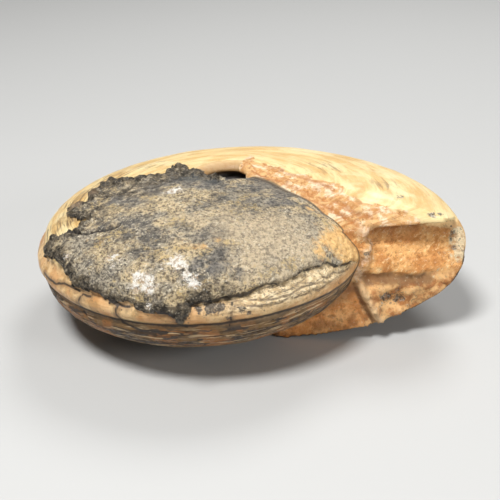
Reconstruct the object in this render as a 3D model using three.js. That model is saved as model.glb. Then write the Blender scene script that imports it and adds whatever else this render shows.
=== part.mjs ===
// A fossil ammonite: a tightly coiled shell with a low keel, lying on its lower flank.
// The mouth is broken away at the front right and shows the stone that filled the shell.
// Millimetres, +Z up. The coil axis is upright; the shell grows clockwise seen from above.
import * as THREE from 'three';

// the coil
const MOUTH_RADIUS = 37.0;
const GROWTH_PER_TURN = 1.72;
const UPPER_FLANK = { half: 0.324, change: -0.085, square: 2.3, sag: 0.0 };
const LOWER_FLANK = { half: 0.407, change: -0.05, square: 2.4, sag: 0.036 };
const SAG_TURN = 4.8;
const SAG_WIDTH = 1.05;

// the keel and the furrow under it
const KEEL_HEIGHT = 0.75;
const KEEL_HALF_WIDTH = 1.15;
const TIP_WIDENING = 0.8;
const FURROW_DEPTH = 0.4;
const FURROW_HALF_WIDTH = 0.5;
const FURROW_BELOW = 1.95;

// the umbilicus: a steep pit in each flank
const HUB = new THREE.Vector3(1.8, 4.0, 0);
const UPPER_PIT_ANGLE = 0.338;
const LOWER_PIT_ANGLE = 0.227;
const NEAR_FILL = 0.2;
const FAR_WIDENING = 0.1;
const FAR_SIDE = 4.4 - 2 * Math.PI;
const PIT_FLOOR = 4.2;
const LIP_HEIGHT = 0.75;
const NEAR_LIP_HEIGHT = 0.45;

// how the fossil lies
const LEAN = 0.05585;
const REST_HEIGHT = -12.75;
const CENTRE_X = 4.41;
const CENTRE_Y = 3.772;

// the crust that covers the inner turn
const CRUST_HEIGHT = 0.5;
const CRUST_EDGE = 0.5;

// how far the corners of the break are rounded, and its unevenness
const ROUNDING = 0.3;
const TOP_ROUNDING = 0.7;
const LUMP_HEIGHT = 0.45;

const ROWS = 47;
const COLUMNS = 104;
const LAST_ROW = 1.48;
const FIRST_SHIFTED_ROW = 0.9;

// A plane of the break through three points, as seen from the hub.
function breakPlane(a, b, c) {
  const plane = new THREE.Plane().setFromCoplanarPoints(a, b, c);
  const reach = -plane.distanceToPoint(HUB);
  const side = reach > 0 ? 1 : -1;
  return { normal: plane.normal.clone().multiplyScalar(side), reach: reach * side };
}

// A sheet of rays from the hub through two points; its normal looks to one side.
function raySheet(a, b, side) {
  const normal = a.clone().sub(HUB).cross(b.clone().sub(HUB)).normalize();
  return normal.dot(side) > 0 ? normal : normal.negate();
}

function at(x, y, z) {
  return new THREE.Vector3(x, y, z);
}

const UP = at(0, 0, 1);
const TOP_FACES = [
  breakPlane(at(5.4, 11.9, 8.8), at(8.9, 1.1, 8.25), at(15.2, 5.2, 8.6)),
  breakPlane(at(11.05, -1.76, 8.0), at(15.5, -6.1, 6.5), at(24.0, -2.0, 7.5)),
  breakPlane(at(16.26, -6.84, 6.1), at(18.6, -8.3, 4.1), at(34.4, -6.7, 4.1)),
];
const SEAM_FACE = breakPlane(at(4.8, 3.0, 8.5), at(5.4, 12.0, 8.5), at(4.8, 3.0, 0));
const LEDGE = raySheet(at(19.5, -8.3, 4.2), at(35.0, -6.3, 3.9), UP);
const HOLLOW_FACE = breakPlane(at(36.8, -5.2, -2.2), at(20.5, -8.6, -1.5), at(28.5, -4.6, 3.0));
const SCOOP_DEPTH = 0.5;
const SCOOP_SWELL = 0.5;
const SCOOP_WIDTH = 0.06;
const SPUR_FACE = breakPlane(at(19.3, -8.7, 4.4), at(20.6, -8.8, -2.0), at(25.0, -8.2, 2.0));
const SPUR_SIDE = raySheet(at(23.4, -8.1, 4.3), at(22.6, -8.9, -2.5), at(-1, 0, 0));
const SPUR_BLEND = 0.03;
const GROOVE = raySheet(at(20.5, -9.4, -4.0), at(36.0, -6.6, -4.2), UP);
const GROOVE_DEPTH = 1.0;
const GROOVE_WIDTH = 0.035;
const FOOT_FACES = [
  breakPlane(at(36.4, -6.7, -3.4), at(29.8, -7.5, -9.0), at(20.0, -9.9, -4.0)),
  breakPlane(at(20.0, -9.6, -6.0), at(24.2, -9.1, -11.0), at(14.1, -8.6, -12.7)),
  breakPlane(at(8.5, -8.7, -12.7), at(-1.0, 3.0, -12.7), at(8.0, -9.1, 0.0)),
];

// Where the two lower faces of the break meet in a ridge, and how high it stands.
const RIDGE_LINE = [
  at(20.3, -9.2, -4.4), at(21.3, -9.4, -5.9), at(22.1, -9.1, -7.9), at(22.9, -8.8, -9.8), at(23.8, -8.3, -11.1),
];
const RIDGE_HEIGHT = 0.9;
const RIDGE_WIDTH = 0.9;

// The edge of the crust on a flat map of the upper side: the hub in the middle, the keel at 25.
const MAP_RADIUS = 25;
const CRUST_OUTLINE = [
  [1.0, -1.0], [-4.2, 0.7], [-6.5, 3.6], [-9.5, 5.6], [-13.9, 2.2], [-17.4, 2.4], [-19.8, 1.4],
  [-19.8, -2.4], [-18.2, -3.6], [-18.0, -8.2], [-20.3, -9.4], [-22.3, -8.9], [-21.4, -11.0],
  [-18.4, -14.9], [-15.6, -18.9], [-12.4, -21.2], [-7.7, -23.2], [-5.2, -24.6], [-3.6, -23.9],
  [0.4, -24.1], [5.1, -22.8], [9.7, -21.0], [14.9, -18.4], [18.6, -15.8], [19.0, -12.6],
  [16.8, -11.4], [14.0, -9.6], [10.7, -4.4], [7.8, -1.6],
];

function smoothMin(a, b, width) {
  const h = THREE.MathUtils.clamp(0.5 + 0.5 * (b - a) / width, 0, 1);
  return b * (1 - h) + a * h - width * h * (1 - h);
}

function smoothMax(a, b, width) {
  return -smoothMin(-a, -b, width);
}

function hill(offset, width) {
  return Math.exp(-((offset / width) ** 2));
}

function ramp(x, low, high) {
  return THREE.MathUtils.smoothstep(x, low, high);
}

// Even bumps about `size` apart, between -1 and 1.
function lumps(p, size) {
  const k = 2 * Math.PI / size;
  return (Math.sin(k * (0.8 * p.x + 0.5 * p.y + 0.2 * p.z) + 1.3)
    + Math.sin(k * (-0.45 * p.x + 0.7 * p.y + 0.6 * p.z) + 4.1)
    + Math.sin(k * (0.3 * p.x - 0.75 * p.y + 0.8 * p.z) + 2.6)
    + Math.sin(k * (0.9 * p.x - 0.2 * p.y - 0.7 * p.z) + 5.2)) / 4;
}

// Distance from the coil axis to the base of the keel at a growth angle.
function coilRadius(turn) {
  return MOUTH_RADIUS * GROWTH_PER_TURN ** (turn / (2 * Math.PI) - 1);
}

// How much nearer the flank is than the keel, at a latitude above or below the keel.
function flankShape(turn, latitude) {
  const flank = latitude >= 0 ? UPPER_FLANK : LOWER_FLANK;
  const half = flank.half + flank.change * (turn - Math.PI) / Math.PI
    + flank.sag * hill(turn - SAG_TURN, SAG_WIDTH);
  const n = flank.square;
  return (Math.cos(latitude) ** n + (Math.abs(Math.sin(latitude)) / half) ** n) ** (-1 / n);
}

// The keel widens to a blunt tip where the inner turn ends, and fades towards the broken mouth.
function keelRelief(z, latitude, turn) {
  const tip = 1 - ramp(turn, 0.55, 1.3);
  const width = KEEL_HALF_WIDTH * (1 + TIP_WIDENING * tip);
  const ridge = Math.exp(-((Math.abs(z) / width) ** 2.6)) - hill(z, z > 0 ? 5.0 : 3.5);
  const furrow = hill(z + FURROW_BELOW, FURROW_HALF_WIDTH) + 0.35 * hill(z - FURROW_BELOW, FURROW_HALF_WIDTH);
  const flank = THREE.MathUtils.clamp(2 * Math.cos(latitude) - 0.6, 0, 1);
  const mouth = 1 - 0.8 * ramp(turn, 5.4, 6.1);
  return (KEEL_HEIGHT * ridge - FURROW_DEPTH * furrow * (1 - tip)) * flank * mouth;
}

// Distance along a ray from the hub to one turn of the shell: the last one, or the one inside it.
const LAST_TURN_START = 0.9 * Math.PI;
function toShell(ray, lastTurn) {
  const p = new THREE.Vector3();
  let s = 22;
  for (let i = 0; i < 14; i += 1) {
    p.copy(HUB).addScaledVector(ray, s);
    let turn = Math.atan2(-p.y, p.x);
    if (turn < 0) turn += 2 * Math.PI;
    if (lastTurn && turn < LAST_TURN_START) turn += 2 * Math.PI;
    if (!lastTurn && turn > 1.5 * Math.PI) turn -= 2 * Math.PI;
    const latitude = Math.atan2(p.z, Math.hypot(p.x, p.y));
    const wanted = coilRadius(turn) * flankShape(turn, latitude) + keelRelief(p.z, latitude, turn);
    s *= wanted / p.length();
  }
  return s;
}

function toPlane(ray, plane) {
  const along = ray.dot(plane.normal);
  return along > 1e-4 ? plane.reach / along : 1000;
}

function toNearestPlane(ray, planes, width) {
  return planes.map((plane) => toPlane(ray, plane)).reduce((a, b) => smoothMin(a, b, width));
}

// Distance along a ray to the scooped face under the ledge, and to the spur at its inner end.
function toHollow(ray) {
  const below = -ray.dot(LEDGE);
  const scoop = SCOOP_DEPTH * hill(below - SCOOP_WIDTH, SCOOP_WIDTH) - SCOOP_SWELL * hill(below - 0.22, SCOOP_WIDTH);
  const hollow = toPlane(ray, HOLLOW_FACE) - scoop;
  const spur = Math.max(toPlane(ray, SPUR_FACE), hollow);
  return hollow + (spur - hollow) * ramp(ray.dot(SPUR_SIDE), -SPUR_BLEND, SPUR_BLEND);
}

// Distance along a ray to the broken face of the last turn.
function toBreak(ray) {
  const seam = ray.y > 0 ? toPlane(ray, SEAM_FACE) : 0;
  const top = Math.max(toNearestPlane(ray, TOP_FACES, 2 * ROUNDING), seam);
  const groove = GROOVE_DEPTH * hill(ray.dot(GROOVE), GROOVE_WIDTH);
  const foot = toNearestPlane(ray, FOOT_FACES, ROUNDING) - groove;
  if (ray.dot(LEDGE) > 0) return top;
  if (ray.dot(GROOVE) > 0) return smoothMin(toHollow(ray), foot, 2 * ROUNDING);
  return foot;
}

// How far the ridge between the two lower faces stands out near a point.
function ridgeRelief(p) {
  let nearest = Infinity;
  const onLine = new THREE.Vector3();
  RIDGE_LINE.slice(1).forEach((end, i) => {
    new THREE.Line3(RIDGE_LINE[i], end).closestPointToPoint(p, true, onLine);
    nearest = Math.min(nearest, onLine.distanceTo(p));
  });
  return RIDGE_HEIGHT * hill(nearest, RIDGE_WIDTH);
}

// Signed distance to the crust's edge on the flat map, positive on the crust.
function insideCrust(azimuth, elevation) {
  const r = MAP_RADIUS * (1 - elevation / (Math.PI / 2));
  const u = r * Math.cos(azimuth);
  const v = -r * Math.sin(azimuth);
  let nearest = Infinity;
  let inside = false;
  CRUST_OUTLINE.forEach(([u0, v0], i) => {
    const [u1, v1] = CRUST_OUTLINE[(i + 1) % CRUST_OUTLINE.length];
    const t = THREE.MathUtils.clamp(
      ((u - u0) * (u1 - u0) + (v - v0) * (v1 - v0)) / ((u1 - u0) ** 2 + (v1 - v0) ** 2), 0, 1);
    nearest = Math.min(nearest, Math.hypot(u - u0 - t * (u1 - u0), v - v0 - t * (v1 - v0)));
    if ((v0 > v) !== (v1 > v) && u < u0 + (u1 - u0) * (v - v0) / (v1 - v0)) inside = !inside;
  });
  return inside ? nearest : -nearest;
}

// Half the opening of a pit, seen from the hub. Crust fills the near side of the upper one.
function pitAngle(azimuth, elevation) {
  if (elevation < 0) return LOWER_PIT_ANGLE;
  const filled = NEAR_FILL * Math.max(Math.cos(azimuth - 1.45), 0) ** 0.7;
  return UPPER_PIT_ANGLE - filled + FAR_WIDENING * (0.5 + 0.5 * Math.cos(azimuth - FAR_SIDE));
}

// A roll of shell round the far side of the upper pit, and a low swelling of crust on its near side.
function lip(azimuth, elevation) {
  if (elevation < 0) return 0;
  const farSide = THREE.MathUtils.clamp(1.2 * Math.cos(azimuth - 4.1) + 0.4, 0, 1);
  const nearSide = Math.max(Math.cos(azimuth - 1.45), 0);
  const outside = Math.PI / 2 - pitAngle(azimuth, elevation) - 0.087 - elevation;
  return LIP_HEIGHT * farSide * hill(outside, 0.1) + NEAR_LIP_HEIGHT * nearSide * hill(outside, 0.16);
}

// Distance from the hub to the outside of the fossil in one direction.
function toSurface(azimuth, elevation) {
  const ray = at(
    Math.cos(elevation) * Math.cos(azimuth),
    -Math.cos(elevation) * Math.sin(azimuth),
    Math.sin(elevation));
  const shell = toShell(ray, false);
  let s = shell;
  let stone = 0;
  if (azimuth > -2.4 && azimuth < (elevation > 0 ? 1.75 : LAST_TURN_START - 0.1)) {
    const last = toShell(ray, true);
    const broken = toBreak(ray);
    const whole = broken > last + ROUNDING;
    const edge = ROUNDING + TOP_ROUNDING * ramp(ray.dot(LEDGE), 0, 0.03);
    s = whole ? Math.max(shell, last) : smoothMax(shell, smoothMin(last, broken, edge), ROUNDING);
    stone = THREE.MathUtils.clamp((Math.min(last, broken) - shell) / 1.5, 0, 1)
      * THREE.MathUtils.clamp((last - broken) / 0.8, 0, 1);
  }
  const p = HUB.clone().addScaledVector(ray, s);
  s += LUMP_HEIGHT * stone * (lumps(p, 4.5) + 0.5 * lumps(p, 2.6)) + stone * ridgeRelief(p);
  if (elevation > 0) {
    const crust = THREE.MathUtils.smoothstep(insideCrust(azimuth, elevation), -CRUST_EDGE, CRUST_EDGE);
    s += CRUST_HEIGHT * crust * (1 - stone) * (1 + 0.3 * lumps(p, 3.4));
  }
  s += lip(azimuth, elevation);
  const rim = Math.PI / 2 - pitAngle(azimuth, elevation);
  const wall = 1 / (1 + Math.exp(-(Math.abs(elevation) - rim) / 0.012));
  s = s * (1 - wall) + PIT_FLOOR * wall;
  return { ray, s: Math.min(s, toRestingPlane(ray)) };
}

// The fossil leans a little; the plane it lies on cuts the lowest skin of the flank flat.
function toRestingPlane(ray) {
  const down = -(ray.x * Math.sin(LEAN) + ray.z * Math.cos(LEAN));
  const height = HUB.x * Math.sin(LEAN) + HUB.z * Math.cos(LEAN) - REST_HEIGHT;
  return down > 1e-4 ? height / down : 1000;
}

// Values of `place` from first to last, spaced so that each step covers the same total weight.
function evenSteps(first, last, count, weightBetween) {
  const samples = 1500;
  const total = [0];
  for (let i = 0; i < samples; i += 1) {
    const a = first + (last - first) * i / samples;
    const b = first + (last - first) * (i + 1) / samples;
    total.push(total[i] + weightBetween(a, b));
  }
  const steps = [];
  let i = 0;
  for (let k = 0; k < count; k += 1) {
    const wanted = total[samples] * k / (count - 1);
    while (i < samples - 1 && total[i + 1] < wanted) i += 1;
    const part = (wanted - total[i]) / (total[i + 1] - total[i]);
    steps.push(first + (last - first) * (i + THREE.MathUtils.clamp(part, 0, 1)) / samples);
  }
  return steps;
}

function surfacePoint(azimuth, elevation) {
  const { ray, s } = toSurface(azimuth, elevation);
  return HUB.clone().addScaledVector(ray, s);
}

// Rows of equal elevation, closer together at the keel and at the pit rims.
function rowElevations() {
  const near = 1.9;
  return evenSteps(-LAST_ROW, LAST_ROW, ROWS, (a, b) => {
    const p = surfacePoint(near, a);
    const nearLength = p.distanceTo(surfacePoint(near, b));
    const farLength = surfacePoint(FAR_SIDE, a).distanceTo(surfacePoint(FAR_SIDE, b));
    const length = a > FIRST_SHIFTED_ROW ? farLength : (nearLength + farLength) / 2;
    return Math.min(length, 0.06) * (1 + 2.2 * hill(p.z, 3.0));
  });
}

// Rows near the upper pit shift, so that its rim, which isn't level, runs along one row.
function followRim(elevations, azimuth) {
  const level = Math.PI / 2 - pitAngle(FAR_SIDE, 1);
  const rim = Math.PI / 2 - pitAngle(azimuth, 1);
  return elevations.map((e) => {
    if (e < FIRST_SHIFTED_ROW) return e;
    return e < level
      ? THREE.MathUtils.mapLinear(e, FIRST_SHIFTED_ROW, level, FIRST_SHIFTED_ROW, rim)
      : THREE.MathUtils.mapLinear(e, level, LAST_ROW, rim, LAST_ROW);
  });
}

// Columns of equal azimuth, closer together on the broken face.
function columnAzimuths() {
  const steps = evenSteps(-Math.PI, Math.PI, COLUMNS + 1, (a, b) => {
    const length = surfacePoint(a, 0.02).distanceTo(surfacePoint(b, 0.02));
    return Math.min(length, 0.3) * (1 + 1.4 * hill(a - 0.38, 0.3));
  });
  return steps.slice(0, COLUMNS);
}

// The two rows beside the ledge follow its edge, so that the edge stays crisp.
function followLedge(elevations, azimuth) {
  const followed = elevations.slice();
  if (Math.cos(azimuth - 0.21) < 0.86) return followed;
  const edge = Math.atan(-(LEDGE.x * Math.cos(azimuth) - LEDGE.y * Math.sin(azimuth)) / LEDGE.z);
  const above = elevations.findIndex((e) => e > edge);
  followed[above - 1] = edge - 0.0005;
  followed[above] = edge + 0.0005;
  return followed;
}

// From the coil's own frame to the frame of the part: lean, then set down on z = 0.
function toPartFrame(p) {
  return at(
    p.x * Math.cos(LEAN) - p.z * Math.sin(LEAN) - CENTRE_X,
    p.y - CENTRE_Y,
    p.x * Math.sin(LEAN) + p.z * Math.cos(LEAN) - REST_HEIGHT);
}

function fossilGeometry() {
  const elevations = rowElevations();
  const points = [];
  const columns = columnAzimuths().map((azimuth) => (
    followLedge(followRim(elevations, azimuth), azimuth).map((e) => toPartFrame(surfacePoint(azimuth, e)))));
  for (let row = 0; row < ROWS; row += 1) {
    columns.forEach((column) => points.push(column[row]));
  }
  points.push(toPartFrame(surfacePoint(0, -Math.PI / 2)));
  points.push(toPartFrame(surfacePoint(0, Math.PI / 2)));
  const index = [];
  const corner = (row, column) => row * COLUMNS + column % COLUMNS;
  for (let column = 0; column < COLUMNS; column += 1) {
    for (let row = 0; row + 1 < ROWS; row += 1) {
      const a = corner(row, column);
      const b = corner(row, column + 1);
      const c = corner(row + 1, column);
      const d = corner(row + 1, column + 1);
      index.push(a, c, b, b, c, d);
    }
    index.push(ROWS * COLUMNS, corner(0, column), corner(0, column + 1));
    index.push(ROWS * COLUMNS + 1, corner(ROWS - 1, column + 1), corner(ROWS - 1, column));
  }
  const geometry = new THREE.BufferGeometry().setFromPoints(points);
  geometry.setIndex(index);
  geometry.computeVertexNormals();
  return geometry;
}

function makeFossil() {
  const stone = new THREE.MeshStandardMaterial({ color: 0xb59a74, roughness: 0.75, metalness: 0 });
  const mesh = new THREE.Mesh(fossilGeometry(), stone);
  mesh.name = 'ammonite_fossil';
  return mesh;
}

const group = new THREE.Group();
group.name = 'fossil_ammonite';
group.add(makeFossil());

export default group;
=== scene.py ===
# A fossil ammonite lying on its lower flank: cream shell, a dark granular crust over the inner turn,
# and a broken mouth that shows the orange stone inside. Lengths are millimetres until the mesh is made.
import math
import bpy
import numpy as np
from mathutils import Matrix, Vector


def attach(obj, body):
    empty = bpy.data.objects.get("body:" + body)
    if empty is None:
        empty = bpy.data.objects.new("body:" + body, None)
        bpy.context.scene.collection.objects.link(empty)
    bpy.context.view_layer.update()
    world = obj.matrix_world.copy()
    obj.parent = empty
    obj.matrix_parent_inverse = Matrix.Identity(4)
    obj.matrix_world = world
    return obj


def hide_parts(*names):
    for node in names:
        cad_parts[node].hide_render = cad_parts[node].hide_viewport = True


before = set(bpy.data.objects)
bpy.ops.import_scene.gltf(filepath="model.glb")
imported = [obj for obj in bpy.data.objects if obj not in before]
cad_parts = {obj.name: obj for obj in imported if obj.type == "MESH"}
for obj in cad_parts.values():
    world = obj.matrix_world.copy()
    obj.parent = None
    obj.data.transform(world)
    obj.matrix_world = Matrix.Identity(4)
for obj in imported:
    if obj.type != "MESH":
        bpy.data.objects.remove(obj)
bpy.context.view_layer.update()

# the coil, as in the part
MOUTH_RADIUS = 37.0
GROWTH_PER_TURN = 1.72
UPPER_FLANK = {"half": 0.324, "change": -0.085, "square": 2.3, "sag": 0.0}
LOWER_FLANK = {"half": 0.407, "change": -0.05, "square": 2.4, "sag": 0.036}
SAG_TURN = 4.8
SAG_WIDTH = 1.05
LAST_TURN_START = 0.9 * math.pi
KEEL_HEIGHT = 0.75
KEEL_HALF_WIDTH = 1.15
TIP_WIDENING = 0.8
FURROW_DEPTH = 0.4
FURROW_HALF_WIDTH = 0.5
FURROW_BELOW = 1.95
HUB = np.array([1.8, 4.0, 0.0])
UPPER_PIT_ANGLE = 0.338
LOWER_PIT_ANGLE = 0.227
NEAR_FILL = 0.2
NEAR_SIDE = 1.45
FAR_SIDE = 4.4 - 2 * math.pi
FAR_WIDENING = 0.10
WALL_SOFTNESS = 0.012
PIT_FLOOR = 4.2
LIP_HEIGHT = 0.75
LIP_MIDDLE = 4.1
LIP_OFFSET = 0.087
NEAR_LIP_HEIGHT = 0.45
ROLL_THICKNESS = 1.45
ROLL_OVERHANG = 0.35
ROLL_HOLLOW = 1.3
LEAN = 0.05585
REST_HEIGHT = -12.75
CENTRE = np.array([4.41, 3.772, 0.0])
ROUNDING = 0.3
LAST_TURN_SECTOR = (-2.4, 1.75)
LAST_TURN_END_BELOW = LAST_TURN_START - 0.1
FIRST_REACH = 22.0
REACH_STEPS = 14
BEYOND = 1000.0
MAP_RADIUS = 25.0
COIL_LENGTHS = (22.0, 24.0)

# how fine the mesh is
ROWS = 190
COLUMNS = 520
LAST_ROW = 1.48
FIRST_SHIFTED_ROW = 0.9

# the relief, and the bumps in metres
CRUST_HEIGHT = 0.42
KNOB_HEIGHT = 0.5
DOME_RADIUS = 0.62
FIBRE_SLANT = math.radians(50)
BUMP_HEIGHT = 0.0006
BUMP_STRENGTH = 0.9

# Outlines and lines on a flat map of the upper side: the hub in the middle, the keel at 25.
CRUST_OUTLINE = [
    (1, -1), (-2, -2), (-4.4, -3.9), (-5.6, -2.9), (-7.1, -0.2), (-8.2, 0.8), (-9.2, 4),
    (-10.2, 6.7), (-11.3, 7.2), (-12.4, 5.8), (-13.3, 2.6),
    (-14.3, 0.9), (-15.8, 1.9), (-17.2, 1.2), (-18.4, 3.1), (-19.2, 1.9), (-19.7, -2.1), (-19.4, -4.5),
    (-20.2, -3.2), (-21.1, -3.1), (-20.4, -5.8), (-19.2, -8), (-18, -9.6), (-18.5, -10.4),
    (-19.3, -9.6), (-20.6, -8.7), (-21.7, -8.4), (-21.3, -10.1), (-20.2, -11.9), (-18.5, -14.6),
    (-17.2, -16.8), (-15.8, -18.3), (-12.7, -21), (-10.7, -22.1), (-8.3, -23.5), (-6.2, -24),
    (-5.4, -24.7), (-4.5, -24.5), (-4, -23.8), (-1.5, -23.9), (1.1, -23.7), (3.6, -23.1),
    (5.4, -22.8), (7.3, -22.2), (9.7, -20.9), (12.2, -19.8), (14.9, -18.7), (16.6, -17.7),
    (18.2, -16.3), (20.6, -14.8), (22.5, -14.6), (20, -10), (16, -8.5), (12.7, -4.6),
    (9.6, -1), (7, 2.6), (5.4, 4.6),
]
EDGE_CRACK = [
    (-4.2, -23.9), (-2.9, -23.8), (-1.5, -23.9), (0, -23.8), (1.4, -23.8), (2.6, -23.6), (3.6, -23.1),
    (4.8, -22.8), (6.1, -22.7), (7.3, -22.2), (9, -21.4), (9.7, -20.9), (11, -20.4), (12.2, -19.8),
    (13.3, -19.1), (14.9, -18.7), (16.6, -17.7), (17.8, -16.6),
]
CRUST_CRACK = [
    (-20.2, -9), (-19.3, -9.9), (-18.4, -10.9), (-17, -12.4), (-16.3, -12.6), (-15.4, -13.3),
    (-14.2, -13.6),
]
SUTURES = [
    [(-22.3, -11), (-21.4, -12.6), (-20.2, -14.3), (-19.9, -14.5), (-19, -15.3), (-18.4, -16),
     (-17.6, -16.8), (-16.9, -17.6)],
    [(-15.5, -18.9), (-16.5, -18.1), (-17, -18.1), (-17.7, -18.2), (-18.5, -18.6), (-18.2, -19.2)],
    [(-13.3, -20.3), (-12.3, -21.2), (-12.6, -21.4), (-13, -21.9), (-13.3, -22.5), (-12.3, -23.3),
     (-11.1, -24.2), (-9.7, -24.8), (-7.9, -25.4)],
    [(-12.6, -20.8), (-12, -21.4), (-10.9, -21.9)],
    [(-7.8, -23.4), (-6.2, -24), (-6.3, -24.8), (-6, -25.3), (-5.3, -25.6)],
    [(0.5, -24.2), (0.3, -24.9), (0.3, -25.6), (-0.1, -26.3)],
]
# middle on the flat map, radius, strength
WHITE_SPOTS = [
    (-18, -14, 0.8, 0.9), (-12.8, -17.6, 1.3, 0.8), (-9.6, -20.6, 1.7, 1), (-8.6, -21.2, 1.4, 1),
    (-7.1, -20.3, 0.9, 0.7), (-5.4, -20.7, 1.6, 0.9), (-4.7, -21.7, 1.2, 0.9), (-3.5, -22.4, 1.1, 0.9),
    (-2.7, -23, 0.7, 0.7), (-10.6, -8.6, 1.7, 1), (-11.6, -7.6, 1, 0.9), (-15.3, -13.9, 0.7, 0.5),
    (-8.6, -22.9, 0.8, 0.7), (4.6, -21.3, 0.9, 0.4), (4.4, 11.2, 1, 0.9), (4.9, 7, 0.8, 0.8),
]
TAN_SPOTS = [
    (-3.4, -19.9, 1.8, 0.6), (-1.4, -19.8, 1.5, 0.55), (-5.2, -19.5, 1.2, 0.45), (17.4, -14.4, 3, 1.35),
    (14.6, -16.4, 2.6, 1.2), (16.6, -16.6, 2.4, 1.1), (12.2, -18.4, 1.8, 0.8), (19.2, -14.6, 2.2, 1.2),
    (-6.2, -15.8, 3, 0.25), (-8.6, -13.2, 2.4, 0.25), (-15.6, -14.6, 3.4, 0.3), (15.2, -12.4, 1.6, 0.5),
    (4.7, 3.3, 0.7, 1), (18.4, -15.4, 2, 1.3), (12.6, -10.6, 0.9, 0.6), (13.8, -12.4, 1, 0.8),
]
DARK_SPOTS = [
    (-15.4, -3, 4.2, 0.7), (-13.6, 2.4, 3.6, 0.95), (-11.3, 6, 2.6, 1), (-18.2, 0.6, 3, 0.95),
    (-18.6, -3.6, 2, 0.9), (-15, -7.4, 2.8, 0.6), (-18, -7.6, 1.6, 0.9), (-16.4, 0.4, 3, 0.9),
    (-14, -1.4, 3.6, 0.85), (-11, 1.6, 3, 0.85), (-16.8, -4.6, 2.6, 0.8),
    (-21.4, -9.2, 2.4, 1), (-19.8, -11.8, 2, 1), (-17.6, -15.6, 1.5, 0.9), (-15.6, -18.2, 1.5, 0.9),
    (-13.4, -20.2, 1.5, 0.8), (-10.8, -21.8, 1.7, 0.8), (-7.6, -23.2, 1.7, 0.9), (-5, -24.2, 1.7, 0.9),
    (-2.2, -23.3, 1.6, 0.9), (-0.2, -23.2, 1.4, 0.7), (-9.4, -10.8, 1.6, 0.5), (-6.8, -22.2, 1.2, 0.5),
]
SLATE_SPOTS = [
    (6, -2, 2.8, 0.8), (8.9, -5.6, 3, 0.9), (10.9, -9.6, 2.8, 0.9), (13.4, -12.5, 1.8, 0.9),
    (7, -9.6, 2.6, 0.7), (8.8, -13.2, 2.4, 0.7), (11.2, -12.6, 2.2, 0.7), (1, -4.4, 3, 0.5),
    (4.6, -12.3, 2.4, 0.35), (-14.4, -5, 4, 0.7), (-11.6, -2.8, 3.4, 0.6), (-9, -6, 2.6, 0.4),
    (-3.6, -21.2, 1.8, 0.8), (-1, -21.6, 2.2, 0.8), (1, -22.4, 1.8, 0.7), (-6.6, -17.4, 2.2, 0.45),
    (-12.6, -18.8, 2, 0.5), (-15, -9, 3, 0.75), (-13.2, -7, 3, 0.7), (-17, -6.4, 2.4, 0.8),
    (-5.3, -7.7, 2.4, 0.8), (-2, -7.6, 2.2, 0.8), (-8.6, -6.6, 2.4, 0.8), (-7.4, -10.2, 2.4, 0.5),
    (1, -7.6, 2.4, 0.6), (-12.2, -3.9, 2.6, 0.8),
]
STAIN_SPOTS = [
    (-2.1, -24.3, 1.1, 1), (-0.9, -24.5, 1, 0.9), (-4.9, -24.4, 0.8, 0.9), (0.1, -25.4, 0.7, 0.7),
    (1.6, -24.6, 0.8, 0.7), (2.5, -25, 0.6, 0.6), (-4.6, -25.1, 0.6, 0.6), (-3.4, -24.2, 0.8, 0.9),
]
SMOOTH_SPOTS = [
    (-9.6, -1.6, 3, 1), (-6.4, -2.6, 2.6, 1), (-3.6, -5.4, 1.9, 0.9), (-12, 1, 2, 0.7),
    (-1.2, -7.6, 1.4, 0.6), (-4.6, -7, 1.6, 0.7),
]
FLAKE_SPOTS = [
    (-20.4, -4, 1.8, 1), (-19.6, -2.6, 1.4, 1), (-20.6, -6.2, 1.2, 0.8),
]
PALE_SPOTS = [
    (7.5, -19.6, 8, 0.9), (1.5, -18.6, 6, 0.7), (3.4, -21.3, 5, 0.7), (10.5, -17, 5, 0.7),
    (-3, -17.6, 6, 0.45), (-12, -15, 5, 0.3),
]
WORN_SPOTS = [
    (-20.6, -5.6, 3.2, 1), (-20.6, 0.8, 4, 0.8), (-18.6, 7, 5, 0.7), (-21.4, -10.6, 3, 0.7),
    (-14.4, 10.8, 5, 0.5), (-19.6, -6.6, 2, 1), (-22, -6, 6, 0.6), (17, 5, 6, 0.42),
    (20.6, -1.6, 4, 0.44), (-9, 16, 6, 0.3), (12, 14, 6, 0.25), (-17, 12, 4, 0.5),
]
CREAM_BOUNDARY = [
    (4.4, 14.2), (6.1, 10.6), (8.4, 8.4), (10.8, 5.7), (13.4, 2.3), (15.2, 0.2), (16.6, -2.5), (17.6, -3.7),
    (17.8, -6), (18.3, -7.3), (19.1, -7.6), (19.8, -7.8), (21.3, -8.2), (22.4, -6.6), (23.6, -5.4),
    (24.2, -4.4),
]
STONE_OUTLINE = CREAM_BOUNDARY + [
    (26, -3), (32, -8), (34, -18), (28, -32), (15, -36), (0, -20), (2, 3),
]
SLOPE_LEDGES = [
    [(7, 3.6), (9.9, -0.2), (12, -2.8), (13.8, -6.5), (15, -7.7)],
    [(8.7, 7.8), (12.3, 3.8), (14.9, -1.1), (16.4, -4.1), (17, -5.9)],
    [(16, -8.2), (17.2, -8.7), (17.8, -9.8), (18.3, -10.2), (19, -9.9)],
    [(14.2, -8.6), (15.6, -9.8), (17, -11), (18.4, -11.6)],
]
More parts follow.
